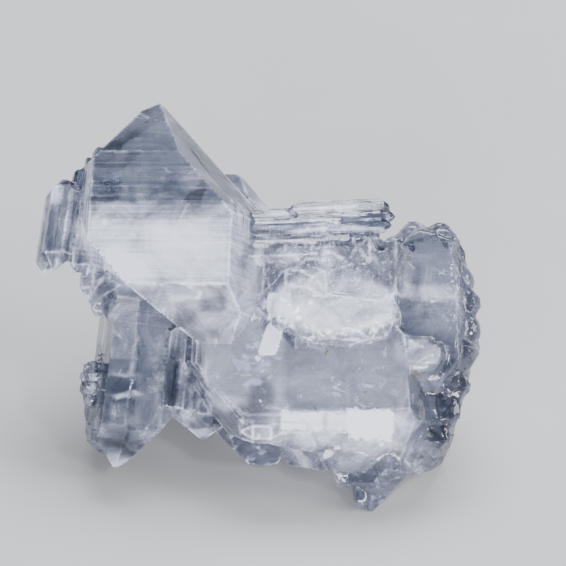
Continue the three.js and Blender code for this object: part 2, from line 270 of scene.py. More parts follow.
def part_value(places, parts, start):
    """For each place, start, or the value of the last part that it lies in, with a soft rim."""
    value = np.full(len(places), start)
    for name, centre, half, amount in parts:
        reach = np.linalg.norm((places / MM @ TO_MAIN - np.array(centre)) / np.array(half), axis=1)
        inside = np.clip((1 + PART_RIM - reach) / (2 * PART_RIM), 0, 1)
        value = value * (1 - inside) + amount * inside
    return value


print(len(SOFT_PARTS), "parts with their own softness")

# %% [markdown]
# ## The body of the cluster
# The solid from the frame has flat faces and few points, so it can't be rounded where it should be. A
# sculptor would lay clay on it and smooth that. Here the solid is covered with a fine skin of small
# squares. Where the stone is crisp, the skin is pulled back to the true faces and edges. Where it is
# soft, the skin is relaxed and made uneven by noise.

# %% Skin of the body
SKIN_SQUARE = 0.29 * MM
source = bpy.data.objects["quartz_cluster"]
draft = bpy.data.objects.new("draft", source.data.copy())
bpy.context.scene.collection.objects.link(draft)
squares = draft.modifiers.new("skin", "REMESH")
squares.mode = "VOXEL"
squares.voxel_size = SKIN_SQUARE
body_mesh = bpy.data.meshes.new_from_object(draft.evaluated_get(bpy.context.evaluated_depsgraph_get()))
body_mesh.name = "quartz_body"
body_mesh.materials.clear()
bpy.data.objects.remove(draft)


def read(values, name, width):
    """One property of every point, edge or corner, as a table with width columns."""
    flat = np.empty(len(values) * width, dtype=int if name == "vertices" else float)
    values.foreach_get(name, flat)
    return flat.reshape(-1, width)


points = read(body_mesh.vertices, "co", 3)
edges = read(body_mesh.edges, "vertices", 2)
neighbours = np.bincount(edges.ravel(), minlength=len(points))[:, None]


def relax(values, weight, rounds):
    """Moves every point's values towards the mean of its neighbours'."""
    for _ in range(rounds):
        total = np.zeros_like(values)
        np.add.at(total, edges[:, 0], values[edges[:, 1]])
        np.add.at(total, edges[:, 1], values[edges[:, 0]])
        values = values + weight * (total / neighbours - values)
    return values


print(len(points), "points in the skin,", len(body_mesh.polygons), "squares")

# %% [markdown]
# First the true faces and edges are found, without strips that are too narrow for the skin to show. Each
# flat face also says what kind of face it is: its direction is looked up among the directions that quartz
# can have.

# %% True faces and true edges
CREASE = math.cos(math.radians(14))     # two faces that turn by more than this make an edge
CREASE_STEP = 0.07 * MM
SAME_PLACE = 0.002 * MM
NARROW = 0.26 * MM                      # strips that the skin's own squares are too wide to show
LONG_EDGE = 1.5 * MM                    # an edge this long, or longer, gets the full wear and painted highlight
FLAT = math.radians(0.5)
solid = bmesh.new()
solid.from_mesh(source.data)
bmesh.ops.remove_doubles(solid, verts=solid.verts, dist=SAME_PLACE)
bmesh.ops.dissolve_limit(solid, angle_limit=FLAT, verts=solid.verts, edges=solid.edges)
narrow = [face for face in solid.faces if 2 * face.calc_area() / face.calc_perimeter() < NARROW]
bmesh.ops.delete(solid, geom=narrow, context="FACES_ONLY")
solid.normal_update()
solid.faces.ensure_lookup_table()
faces_near = BVHTree.FromBMesh(solid)

crease_places, crease_wear_and_highlight = [], []
for edge in solid.edges:
    normals = [face.normal for face in edge.link_faces]
    if len(normals) == 2 and normals[0].dot(normals[1]) < CREASE:
        start, end = (vert.co for vert in edge.verts)
        steps = max(1, round(edge.calc_length() / CREASE_STEP))
        crease_places.extend(start.lerp(end, step / steps) for step in range(steps + 1))
        # painted highlight: long convex edges are whitened, partly as real bruising and partly as the bright
        # lines that light draws along them
        wear_and_highlight = min(1.0, edge.calc_length() / LONG_EDGE) if edge.is_convex else 0.0
        crease_wear_and_highlight.extend([wear_and_highlight] * (steps + 1))
creases_near = KDTree(len(crease_places))
for number, place in enumerate(crease_places):
    creases_near.insert(place, number)
creases_near.balance()

face_kind, face_axis = [], []
for face in solid.faces:
    match, kind, name = max(
        ((face.normal.dot(direction), kind, name) for direction, kind, name in face_book),
        key=lambda entry: entry[0])
    face_kind.append(kind if match > math.cos(FLAT) else "rough")
    face_axis.append(name if match > math.cos(FLAT) else "main")
print(len(narrow), "narrow strips;", len(crease_places), "places on edges")
print({kind: face_kind.count(kind) for kind in ("prism", "end", "rough")}, "faces")

# %% [markdown]
# The skin is pulled to the nearest true face, and points close to a true edge are pulled on to that edge,
# so that the edges stay straight. Blender's shrinkwrap could do the first, but not the second. Then the
# soft parts are relaxed, which rounds them.

# %% Pull the skin back
EDGE_PULL = 0.6 * SKIN_SQUARE
SPREAD = 0.6                            # share of the way to the neighbours' mean in one round
SOFT_ROUNDS, ROUNDING_ROUNDS = 5, 8
ROUNDING_GAIN, ROUNDING_START = 1.6, 0.3  # stone softer than about 0.2 is rounded
owner = np.empty(len(points), dtype=int)
edge_wear_and_highlight = np.zeros((len(points), 1))
for number, point in enumerate(points):
    place, _, owner[number], _ = faces_near.find_nearest(Vector(point))
    crease, nearest, gap = creases_near.find(Vector(point))
    if gap < EDGE_PULL:
        points[number], edge_wear_and_highlight[number] = crease, crease_wear_and_highlight[nearest]
    else:
        points[number] = place

rough = np.array([kind == "rough" for kind in face_kind], dtype=float)[owner]
soft = np.maximum(part_value(points, SOFT_PARTS, SOFT_START), ROUGH_SOFTNESS * rough)
soft = relax(soft[:, None], SPREAD, SOFT_ROUNDS)
crisp_places = points.copy()
rounding = np.clip(soft * ROUNDING_GAIN - ROUNDING_START, 0, SPREAD)
points = relax(points, rounding, ROUNDING_ROUNDS)
print("moved by up to", round(float(np.abs(points - crisp_places).max() / MM), 2), "mm")

# %% [markdown]
# Soft stone is also uneven: gentle waves with lumps on them push its skin in and out. One rim is swollen,
# since it is fuller than flat faces can make it. The skin stays inside the solid's own box, so the size
# holds.

# %% Unevenness
GENTLE_PERIOD, GENTLE_HEIGHT = 3.2 * MM, 0.3 * MM
LUMPY_PERIOD, LUMPY_HEIGHT = 1.3 * MM, 0.45 * MM
LUMPY_MEAN = 0.4                        # taken off, so that lumps push in as much as out
FADE, FINER, LAYERS = 0.6, 2.1, 3       # how fast finer waves fade, how much finer they are, how many
SWELL_ROUNDS = 12
body_mesh.vertices.foreach_set("co", points.ravel())
body_mesh.update()
outward = read(body_mesh.vertices, "normal", 3)
push = np.array([
    GENTLE_HEIGHT * noise.fractal(Vector(point) / GENTLE_PERIOD, FADE, FINER, LAYERS)
    + LUMPY_HEIGHT * (noise.voronoi(Vector(point) / LUMPY_PERIOD)[0][0] - LUMPY_MEAN)
    for point in points
])
swelling = relax(part_value(points, SWOLLEN_PARTS, 0.0)[:, None], SPREAD, SWELL_ROUNDS) * MM
points += outward * (push[:, None] * soft + swelling)
points = np.clip(points, *(np.array(corner) for corner in cad_box))
body_mesh.vertices.foreach_set("co", points.ravel())
body_mesh.update()
print("swollen by up to", round(float(swelling.max() / MM), 2), "mm")

# %% [markdown]
# On crisp parts each square is shaded by its true face, so that a flat face looks flat right up to its
# edge. Auto smooth could do it by angle, but the skin's corners are a little uneven, and these normals
# aren't.

# %% Shading
CRISP_LIMIT = 0.25                      # softness from which the skin's own shape does the shading
body_mesh.shade_smooth()
outward = read(body_mesh.vertices, "normal", 3)
true_normals = np.array([face.normal for face in solid.faces])
corner_vertex = read(body_mesh.loops, "vertex_index", 1)[:, 0].astype(int)
corner_face = np.empty(len(corner_vertex), dtype=int)
for polygon in body_mesh.polygons:
    corners = slice(polygon.loop_start, polygon.loop_start + polygon.loop_total)
    corner_face[corners] = faces_near.find_nearest(polygon.center)[2]
share = np.clip(soft[corner_vertex] / CRISP_LIMIT, 0, 1)
shading = true_normals[corner_face] * (1 - share) + outward[corner_vertex] * share
shading /= np.linalg.norm(shading, axis=1)[:, None]
body_mesh.normals_split_custom_set(shading.tolist())
print(round(100 * float((share < 1).mean())), "% of the corners are shaded by their true face")

# %% [markdown]
# Growth lines and streaks follow their own crystal. So each corner of the mesh carries its place as that
# crystal measures it, in mm, across, along and out. A texture map per crystal would need unwrapping
# first.

# %% Grain
frames = {}
for name, angles in AXES.items():
    along, side = crystal_directions(*angles)
    frames[name] = np.array([along.cross(side(0)), along, side(0)])
grain = body_mesh.attributes.new("grain", "FLOAT_VECTOR", "CORNER")
turned = np.array([frames[name] for name in face_axis])[corner_face]
grain.data.foreach_set("vector", np.einsum("nij,nj->ni", turned, points[corner_vertex] / MM).ravel())
print(len(frames), "crystals give the grain")

# %% [markdown]
# Each finish has its places: growth lines on prism faces, streaks along thin crystals, clouds in the
# milk, a whitish sugar with painted sparkle on the sugared parts, and white along long edges that is partly
# bruising and partly a painted highlight. Lists of parts are used again, as for softness.

# %% Finishes
# centre and half size in mm, then how strong the finish is
LINED_START, SUGAR_AND_SPARKLE_START = 0.12, 0.08
LINED_SPREAD, LINED_ROUNDS = 0.5, 2
LINED_PARTS = [
    ("main", (-9, 17, 18), (12, 12, 10), 1.0),
    ("rods", (7, 18, 18), (11, 3.4, 5), 0.5),
    ("flank", (-21, 17, 20), (3.5, 9, 6), 0.35),
]
STREAKED_PARTS = [
    ("rods", (7, 18.4, 18), (11, 3.6, 5), 1.0),
    ("flank", (-21, 17, 20), (3.5, 9, 6), 0.6),
    ("main_far_side", (-3, 24, 17.4), (5, 8, 2.2), 0.6),
    ("plate", (-6.4, -0.5, 14.5), (3.4, 6, 5), 0.45),
    ("lower_left_rim", (-17.2, 2, 14), (1.4, 9, 5), 0.6),
]
CLOUDED_PARTS = [
    ("middle", (7, 0, 17), (14, 5.6, 7), 0.35),
    ("upper_lumps", (9, 13.2, 18), (7, 3, 4), 1.6),
    ("lower_left", (-12, 0, 13), (7, 12, 9), 1.1),
    ("main_top", (-9, 28, 18), (14, 7, 9), 0.6),
    ("under_lip", (0, -7.6, 8), (6, 3, 4), 0.35),
    ("bottom", (15.5, -12, 11), (5, 4, 4), 0.4),
    ("right_edge", (25, 4, 12), (3, 18, 8), 0.5),
]
# white pinpricks on sugared parts: partly their whitish sugar, partly painted sparkle
SUGAR_AND_SPARKLE_PARTS = [
    ("lumps", (10.5, 10, 18.5), (8.5, 7, 5), 0.6),
    ("right_edge", (25, 4, 12), (2.6, 18, 8), 0.4),
    ("foot", (11, -9, 13), (11, 3, 6), 0.25),
    ("druse", (-18.2, -0.5, 15), (1.2, 3.2, 4), 1.0),
]
# these parts scale the white along edges, which is partly bruising and partly a painted highlight
WEAR_AND_HIGHLIGHT_PARTS = [
    ("back", (0, 8, 3), (30, 22, 8), 0.6),
    ("lower_left", (-13, -1, 14), (6, 12, 9), 0.3),
    ("middle", (7, 0, 17), (14, 5.6, 7), 0.7),
    ("main_front", (-9, 25, 19), (6, 3, 4), 0.5),
    ("rods", (7, 18.4, 18), (11, 3.6, 5), 0.6),
    ("right_side", (23, 3, 12), (5, 20, 9), 0.25),
    ("bottom", (15.5, -12.5, 11), (6, 4, 5), 0.4),
    ("foot", (11, -9, 13), (11, 3.4, 6), 0.3),
    ("main_right_edge", (-5, 22, 20), (5, 6, 4), 0.5),
]
prism = np.array([kind == "prism" for kind in face_kind], dtype=float)[owner]
lined = (prism * part_value(points, LINED_PARTS, LINED_START))[:, None]
finishes = {
    "soft": soft,
    "edge_wear_and_highlight": edge_wear_and_highlight[:, 0] * part_value(points, WEAR_AND_HIGHLIGHT_PARTS, 1.0),
    "lined": relax(lined, LINED_SPREAD, LINED_ROUNDS),
    "streaked": part_value(points, STREAKED_PARTS, 0.0),
    "clouded": part_value(points, CLOUDED_PARTS, 1.0),
    "sugar_and_painted_sparkle": part_value(points, SUGAR_AND_SPARKLE_PARTS, SUGAR_AND_SPARKLE_START),
}
for name, values in finishes.items():
    body_mesh.attributes.new(name, "FLOAT", "POINT").data.foreach_set("value", np.ravel(values))
print({name: round(float(values.mean()), 2) for name, values in finishes.items()}, "on average")

# %% [markdown]
# The finished skin takes the place of the frame's solid, which stays for collisions only,
# hidden.

# %% Body
body = bpy.data.objects.new("quartz_body", body_mesh)
bpy.context.scene.collection.objects.link(body)
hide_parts("quartz_cluster")
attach(body, "root")
print("body of", len(body_mesh.polygons), "squares")

# %% [markdown]
# ## Milk and clear
# The stone is clear where it grew slowly and milky where it trapped water. The milk is a field: a list of
# soft patches, each with its place, size and strength, in the main crystal's own directions. It could be
# painted by hand. Patches by numbers stay in place when the shape is made again. A few of the whitest
# patches are painted highlights: glints on flat front faces, not milk.

# %% Patches of milk
CLEAR_START = 0.4                       # the milk where no patch lies

# across, along and out in mm; half sizes in mm; milk from 0, clear, to 1, white; softness of the rim; then
# the shape: box, round, or torn, which is a box with a ragged rim
PATCHES = [
    ("main_top", (-10, 30, 18), (14, 3.8, 9), 0.45, 0.15, "box"),
    ("main_top_clear", (-13.0, 27.4, 18), (1.6, 1.1, 5), 0.3, 0.6, "round"),
    ("main_upper", (-9, 22.3, 19), (9, 5.0, 8), 0.33, 0.2, "box"),
    ("main_upper_right", (-5.2, 20.9, 22), (2.2, 1.5, 4), 0.52, 0.7, "round"),
    ("main_veil", (-9, 12.2, 20), (9.4, 5.2, 6), 0.82, 0.25, "box"),
    ("main_veil_top", (-9, 17.8, 20), (9.4, 1.0, 6), 0.6, 0.4, "box"),
    ("main_veil_bright", (-13.4, 10.8, 21), (3.2, 2.4, 5), 1.12, 0.6, "round"),
    ("main_veil_heart", (-7, 14.0, 21), (4.5, 1.6, 5), 0.98, 0.8, "round"),
    ("main_bevel", (-6.5, 6.5, 18), (7.5, 2.6, 6), 0.62, 0.3, "box"),
    ("bevel_edge", (-3.4, 8.4, 21.4), (4.8, 0.5, 2), 0.52, 0.5, "box"),
    ("bevel_window", (-2.7, 7.3, 20.6), (1.7, 0.8, 2), 0.44, 0.35, "box"),
    ("bevel_haze", (-8.6, 5.6, 19.6), (2.4, 1.2, 2), 0.8, 0.6, "round"),
    ("bevel_tip", (-2.4, 4.9, 19), (3, 0.9, 2), 0.72, 0.5, "round"),
    ("main_right", (0.4, 14, 19), (1.8, 9, 4), 0.64, 0.3, "box"),
    ("main_far_side", (-3.4, 24, 17.6), (5, 6.5, 1.6), 0.05, 0.4, "box"),
    ("shoulder", (-1, 24, 12), (5, 6, 4.4), 0.62, 0.3, "round"),
    ("flank_row", (-21, 17, 20), (3, 8, 5), 0.40, 0.2, "box"),
    ("flank_bright", (-18.5, 18.5, 21), (0.6, 5, 3), 0.8, 0.5, "box"),
    ("flank_bright_two", (-22.4, 20.4, 21), (1.0, 1.6, 3), 0.75, 0.6, "round"),
    ("flank_dark", (-22.6, 15.4, 20.6), (0.9, 2.2, 3), 0.2, 0.6, "round"),
    ("flank_tips", (-21, 10.6, 19), (4, 1.4, 4), 0.6, 0.5, "box"),
    ("lower_left", (-12, 0, 13), (6.5, 9, 7), 0.40, 0.2, "box"),
    ("lower_left_shade", (-15.8, 4.0, 18), (0.7, 4.6, 3), 0.22, 0.5, "box"),
    ("lower_left_plate", (-13.5, 4.6, 19), (1.6, 3.4, 3), 0.54, 0.05, "box"),
    ("lower_left_heart", (-13.6, -2.6, 17.6), (1.6, 1.4, 3), 0.24, 0.6, "round"),
    ("wisp", (-13.5, -2.9, 17.7), (1.1, 0.36, 2), 0.8, 0.8, "round"),
    ("second_wisp", (-12.2, -2.5, 17.3), (0.9, 0.28, 2), 0.7, 0.9, "round"),
    ("third_wisp", (-13.3, -0.5, 18.2), (1.5, 0.26, 2), 0.66, 0.9, "round"),
    ("fourth_wisp", (-12.4, 0.4, 18.0), (0.3, 1.0, 2), 0.6, 0.9, "round"),
    ("fifth_wisp", (-14.6, -5.0, 16.6), (0.4, 1.6, 2), 0.55, 0.9, "round"),
    ("lower_left_tip", (-14.6, -7.0, 15), (2.6, 2, 3), 0.26, 0.6, "round"),
    ("lower_left_point", (-15.3, -10.2, 12), (1.7, 1.2, 3), 0.62, 0.6, "round"),
    ("lower_left_rim", (-17.6, 0, 13), (1.5, 11, 6), 0.36, 0.4, "box"),
    ("lower_left_rim_top", (-17.6, 6.5, 16), (1.4, 3.4, 4), 0.42, 0.6, "box"),
    ("plate", (-6.4, 0.5, 15), (2.9, 4, 3.4), 0.37, 0.3, "box"),
    ("plate_clear", (-8.2, -0.5, 15.2), (0.8, 2.6, 3), 0.12, 0.6, "round"),
    ("plate_window", (-4.0, -2.8, 15.4), (1.5, 1.4, 2.2), 0.0, 0.3, "round"),
    ("plate_lip", (-5.6, -5.0, 11.4), (3.4, 1.4, 2), 0.38, 0.3, "box"),
    ("plate_rim", (-6.6, -5.9, 10.4), (2.6, 0.4, 2), 0.7, 0.6, "box"),
    ("plate_lens", (-3.8, -4.6, 12.4), (0.9, 0.5, 2), 0.1, 0.5, "round"),
    ("middle_left", (0.5, 0.5, 17), (5, 4.6, 4), 0.6, 0.2, "box"),
    ("middle_left_rim", (-2.4, -3.6, 17.6), (2.4, 1.0, 2), 0.72, 0.6, "round"),
    ("middle_clear", (2.6, -2.7, 17.6), (1.3, 2.0, 2), 0.44, 0.5, "round"),
    ("middle_right", (12, 0.6, 17), (6.8, 4.4, 4), 0.54, 0.15, "box"),
    ("grey_foot", (10, -9.0, 13), (11, 4.0, 4), 0.52, 0.3, "box"),
    ("foot", (11.5, -5.8, 16), (7, 1.8, 4), 0.72, 0.4, "box"),
    # painted highlights: three white glints on the front of the foot, laid in as milk of about 1
    ("painted_glint_foot_left", (7.2, -5.3, 16), (2.3, 1.0, 4), 1.0, 0.12, "torn"),
    ("painted_glint_foot_middle", (11.2, -5.2, 16), (1.2, 0.8, 4), 0.92, 0.2, "torn"),
    ("painted_glint_foot_right", (14.8, -5.3, 16), (2.5, 1.5, 4), 1.15, 0.08, "torn"),
    ("druse", (-18.2, -0.5, 15.2), (1.3, 2.8, 3), 0.5, 0.4, "box"),
    ("stubs", (-17.8, 9.8, 18), (2.6, 3, 4), 0.5, 0.5, "round"),
    # painted highlight: a white glint on a flat ledge, laid in as milk above 1
    ("painted_glint_ledge", (3.5, 4.0, 18.05), (2.4, 2.8, 0.17), 1.15, 0.05, "box"),
    ("lumps", (10.5, 8.0, 18.6), (7.2, 3.6, 3.4), 0.76, 0.15, "round"),
    ("lump_bright", (9.5, 6.6, 19), (3.0, 1.4, 2.4), 0.95, 0.8, "round"),
    # painted highlight: a second white glint, laid in as milk above 1
    ("second_painted_glint_ledge", (4.3, 7.6, 18.8), (1.3, 1.4, 2), 1.05, 0.12, "box"),
    ("upper_lumps", (9, 13.2, 18), (6, 2.6, 3), 0.66, 0.4, "round"),
    ("lobe", (14, 13.9, 18.4), (2.2, 2.4, 2.4), 0.5, 0.3, "round"),
    ("rods", (6, 17.5, 18), (9, 3, 3), 0.54, 0.3, "box"),
    ("rod_window", (14.6, 19.0, 16.5), (1.5, 1.4, 3), 0.12, 0.4, "box"),
    ("right_side", (24.5, 4, 12), (3.4, 18, 8), 0.3, 0.3, "box"),
    ("right_body", (21.3, 12, 14.5), (3.6, 6.5, 3), 0.43, 0.2, "box"),
    ("right_band", (21, 10.4, 15), (3.6, 0.8, 1.5), 0.62, 0.6, "box"),
    ("right_facet", (20, 2.8, 16.5), (2.6, 1.9, 2.2), 0.60, 0.2, "round"),
    ("right_flank", (23.6, -2, 13), (3, 6.5, 3.6), 0.26, 0.5, "round"),
    ("right_hollow", (23.4, -5.2, 12.6), (1.2, 3.4, 2.4), 0.18, 0.7, "round"),
    ("right_edge", (26.2, 2, 10.5), (1.2, 10, 4), 0.24, 0.6, "round"),
    ("bottom", (15.5, -12, 11), (4.6, 3, 3.2), 0.34, 0.4, "round"),
    ("under_lip", (0, -7.6, 8), (6, 3, 3), 0.40, 0.4, "round"),
    ("small_prism", (2.2, -6.4, 17.6), (2.3, 1.1, 1.2), 0.64, 0.2, "box"),
    # the back and the underside
    ("back_veil", (-8, 12, 8), (9, 3.4, 5.4), 0.78, 0.7, "round"),
    ("back_thread", (4, 6, 5), (22, 1.6, 6), 0.85, 0.6, "box"),
    ("back_lumps", (12, 10, 6), (5, 4, 4), 0.66, 0.8, "round"),
    ("under_clear", (4, -2, 2), (9, 4, 4), 0.2, 0.8, "round"),
]
print(len(PATCHES), "patches")

# %% [markdown]
# A few iron stains, dark specks of clay and white flecks sit on the faces. They could be painted too. As
# spots in a list, they can be moved one by one.

# %% Stains, specks and flecks
# across, along and out in mm, radius in mm
STAINS = [(19.6, 0.5, 15.4, 0.5), (9.6, 2.6, 17.5, 0.28), (21.5, -5.9, 13.0, 0.22)]
SPECKS = [
    (18.2, 3.7, 16.9, 0.13), (11.8, -0.6, 17.3, 0.14), (14.3, -1.8, 17.2, 0.12), (8.7, -3.8, 17.5, 0.12),
    (-13.2, 27.5, 20.4, 0.22), (-12.5, 30.0, 18.4, 0.2), (-9.9, 27.7, 20.2, 0.14), (13.8, 15.2, 18.5, 0.4),
    (7.7, 15.7, 17.9, 0.25), (17.6, 14.9, 16.6, 0.35), (21.6, 17.4, 14.8, 0.3), (16.2, 12.6, 18.6, 0.2),
]
# white flecks, where cracks healed
FLECKS = [
    (2.0, 1.7, 17.7, 0.3), (2.4, -3.1, 17.7, 0.2), (-15.7, 16.2, 22.5, 0.3), (11.3, -1.0, 17.3, 0.2),
]
print(len(STAINS), "stains,", len(SPECKS), "specks,", len(FLECKS), "flecks")

# %% [markdown]
# The lists become one group of nodes, which gives the milk at any place in the stone. A painted texture
# could hold it too, but a group needs no unwrapping. Its places are first turned to the main crystal's
# directions, then shifted a little by noise, so that no rim is a straight line.

# %% Places in the field
# noise that shifts the places: its scale to the mm, detail and roughness, then how far it shifts in mm
WAVY = (0.55, 3.0, 0.5, 0.9)
RAGGED = (1.8, 6.0, 0.7, 1.8)

field = bpy.data.node_groups.new("milk_field", "ShaderNodeTree")
for name in ("Milk", "Stain", "Speck", "Fleck"):
    field.interface.new_socket(name, in_out="OUTPUT", socket_type="NodeSocketFloat")
place = add_node(field, "ShaderNodeTexCoord").outputs["Object"]


def field_math(kind, operation, inputs, output):
    """The result of one node of maths in the field."""
    return add_node(field, kind, {"operation": operation}, inputs).outputs[output]


def measure(operation, first, second=None, output="Vector"):
    """The result of one VectorMath node in the field."""
    inputs = {0: first} if second is None else {0: first, 1: second}
    return field_math("ShaderNodeVectorMath", operation, inputs, output)


def larger(first, second):
    return field_math("ShaderNodeMath", "MAXIMUM", {0: first, 1: second}, "Value")


turned = {axis: measure("DOT_PRODUCT", place, direction / MM, "Value")
          for axis, direction in zip("XYZ", (MAIN_ACROSS, MAIN_ALONG, MAIN_OUT))}
local = add_node(field, "ShaderNodeCombineXYZ", inputs=turned).outputs["Vector"]


def shifted(scale, detail, roughness, reach):
    """The place, shifted by noise along the main crystal's widest face."""
    shifts = add_node(field, "ShaderNodeTexNoise", inputs={
        "Vector": local, "Scale": scale, "Detail": detail, "Roughness": roughness}).outputs["Color"]
    centred = measure("SUBTRACT", shifts, (0.5, 0.5, 0.5))
    return measure("ADD", local, measure("MULTIPLY", centred, (reach, reach, 0.0)))


wavy = shifted(*WAVY)
ragged = shifted(*RAGGED)
print(len(field.nodes), "nodes so far")

# %% [markdown]
# Each patch is laid over the ones before it, as thin paint is: inside the patch its own milk counts,
# outside it the milk below, and in its rim a mix of both.

# %% Milk in the field
milk = CLEAR_START
for name, centre, half, strength, softness, shape in PATCHES:
    moved = measure("SUBTRACT", ragged if shape == "torn" else wavy, centre)
    scaled = measure("DIVIDE", moved, half)
    if shape == "round":
        reach = measure("LENGTH", scaled, output="Value")
    else:
        flat = measure("ABSOLUTE", scaled)
        parts = add_node(field, "ShaderNodeSeparateXYZ", inputs={"Vector": flat}).outputs
        reach = larger(larger(parts["X"], parts["Y"]), parts["Z"])
    inside = add_node(field, "ShaderNodeMapRange", {"interpolation_type": "SMOOTHSTEP"},
                      {"Value": reach, "From Min": 1 + softness, "From Max": 1 - softness})
    # a Mix node of numbers takes the share in its input 0 and the two numbers in 2 and 3
    blend = add_node(field, "ShaderNodeMix", {"data_type": "FLOAT", "label": name},
                     {0: inside.outputs["Result"], 2: milk, 3: strength})
    milk = blend.outputs[0]
print(len(field.nodes), "nodes with the patches")

# %% [markdown]
# Stains, specks and flecks are found by their distance from the middle of each spot. The largest value
# counts, so that two spots which touch don't add up.

# %% Spots in the field
SPOT_RIM = 0.3                          # half of a spot's fading rim, as a share of its radius


def spots(places):
    """1 inside any of the spots and 0 outside, with a ragged rim."""
    total = 0.0
    for across, along, out, radius in places:
        away = measure("DISTANCE", ragged, (across, along, out), "Value")
        inside = add_node(field, "ShaderNodeMapRange", inputs={
            "Value": away, "From Min": radius * (1 + SPOT_RIM), "From Max": radius * (1 - SPOT_RIM)})
        total = larger(inside.outputs["Result"], total)
    return total


add_node(field, "NodeGroupOutput", inputs={
    "Milk": milk, "Stain": spots(STAINS), "Speck": spots(SPECKS), "Fleck": spots(FLECKS)})
print(len(field.nodes), "nodes in the whole field")

# %% [markdown]
# ## Quartz
# Quartz grew from hot water in a crack in rock. Its faces are as smooth as glass, apart from the growth
# lines. Where it is clear, light passes; where it is milky, tiny water bubbles scatter the light back.
# Fog inside the stone would be the true way, but it is slow and grainy. So one glass shader does both:
# the milk decides how much light passes.

# %% Helpers for the quartz
quartz_material, tree = new_material("rock_crystal")


def attribute(name, output="Fac"):
    return add_node(tree, "ShaderNodeAttribute", {"attribute_name": name}).outputs[output]


def ranged(value, span, low, high, smooth=False):
    """Low where the value is at the start of the span, high at its end, and between them in it."""
    kind = {"interpolation_type": "SMOOTHSTEP"} if smooth else None
    return add_node(tree, "ShaderNodeMapRange", kind, {
        "Value": value, "From Min": span[0], "From Max": span[1], "To Min": low, "To Max": high,
    }).outputs["Result"]


def combined(operation, first, second):
    return add_node(tree, "ShaderNodeMath", {"operation": operation}, {0: first, 1: second}).outputs["Value"]


def vectors(operation, first, second, output="Vector"):
    return add_node(tree, "ShaderNodeVectorMath", {"operation": operation},
                    {0: first, 1: second}).outputs[output]


def noise_texture(vector, scale, detail, roughness, distortion=0.0):
    return add_node(tree, "ShaderNodeTexNoise", inputs={
        "Vector": vector, "Scale": scale, "Detail": detail, "Roughness": roughness, "Distortion": distortion,
    }).outputs["Fac"]


def relief(height, strength, distance, below=None):
    """The normal of a relief, laid over the relief below it."""
    inputs = {"Strength": strength, "Distance": distance, "Height": height}
    if below is not None:
        inputs["Normal"] = below
    return add_node(tree, "ShaderNodeBump", inputs=inputs).outputs["Normal"]


print("material", quartz_material.name)

# %% [markdown]
# Four kinds of relief lie over each other: growth lines across the prism faces, a grain on soft parts,
# streaks along thin crystals, and small flat facets on soft parts. They could be modelled, but that would
# take millions of squares, so they only bend the light.

# %% Relief
LINE_STRETCH = (0.06, 3.4, 0.06)        # to the mm: lines about 0.3 mm apart and long across the face
STREAK_STRETCH = (1.1, 0.1, 1.1)        # to the mm: streaks up to 1 mm wide and 10 mm long
STRETCHED_NOISE = (1.0, 3.0, 0.6)       # scale, detail and roughness
GRAIN_NOISE = (900.0, 5.0, 0.65)        # to the metre: a grain of about 1 mm
LINE_RELIEF = (0.25, 0.12 * MM)         # strength and height
GRAIN_RELIEF = (0.3, 0.12 * MM)
STREAK_RELIEF = (0.4, 0.4 * MM)
GRAIN_SOFTNESS, GRAIN_LEAST = (0.1, 0.8), 0.12  # the grain grows from its least over this softness

place = add_node(tree, "ShaderNodeTexCoord").outputs["Object"]
lines = noise_texture(vectors("MULTIPLY", attribute("grain", "Vector"), LINE_STRETCH), *STRETCHED_NOISE)
line_normal = relief(combined("MULTIPLY", lines, attribute("lined")), *LINE_RELIEF)

pits = noise_texture(place, *GRAIN_NOISE)
pit_share = ranged(attribute("soft"), GRAIN_SOFTNESS, GRAIN_LEAST, 1.0)
pit_normal = relief(combined("MULTIPLY", pits, pit_share), *GRAIN_RELIEF, line_normal)

streaks = noise_texture(vectors("MULTIPLY", attribute("grain", "Vector"), STREAK_STRETCH), *STRETCHED_NOISE)
streak_normal = relief(combined("MULTIPLY", streaks, attribute("streaked")), *STREAK_RELIEF, pit_normal)
print(len(tree.nodes), "nodes so far")

# %% [markdown]
# A facet is a cell of about 1 mm that leans its own way. The cell's colour is random, so it gives the
# lean, and the height is how far a place is from the cell's middle, measured along the lean.

# %% Facets
FACET_SCALE = 900.0                     # to the metre
FACET_SOFTNESS, FACET_LEAN = (0.12, 0.45), 0.45
FACET_RELIEF = (1.0, 1.0)               # the height is in metres already

cells = add_node(tree, "ShaderNodeTexVoronoi", inputs={"Vector": place, "Scale": FACET_SCALE})
from_middle = vectors("SUBTRACT", place, cells.outputs["Position"])
lean = vectors("SUBTRACT", cells.outputs["Color"], (0.5, 0.5, 0.5))
facet_height = combined("MULTIPLY", vectors("DOT_PRODUCT", from_middle, lean, "Value"),
                        ranged(attribute("soft"), FACET_SOFTNESS, 0.0, FACET_LEAN))
facet_normal = relief(facet_height, *FACET_RELIEF, streak_normal)
print(len(tree.nodes), "nodes with the facets")

# %% [markdown]
# The field gives the broad milk. Finer patterns are added to it: clouds and wisps, white flecks,
# white pinpricks that are partly sugar and partly painted sparkle, the streaks and lines of the relief,
# and white along edges that is partly bruising and partly a painted highlight. One loop adds them all,
# since each is a pattern, the span of it that counts, and the milk at both ends of that span.

# %% Milk in the quartz
CLOUD_NOISE = (180.0, 8.0, 0.66, 0.8)   # scale to the metre, detail, roughness and distortion
WISP_NOISE = (260.0, 6.0, 0.6, 2.5)
PINPRICK_NOISE = (2600.0, 3.0, 0.6)
BRUISE_AND_HIGHLIGHT_NOISE = (420.0, 4.0, 0.6)

field_values = add_node(tree, "ShaderNodeGroup", {"node_tree": field}).outputs
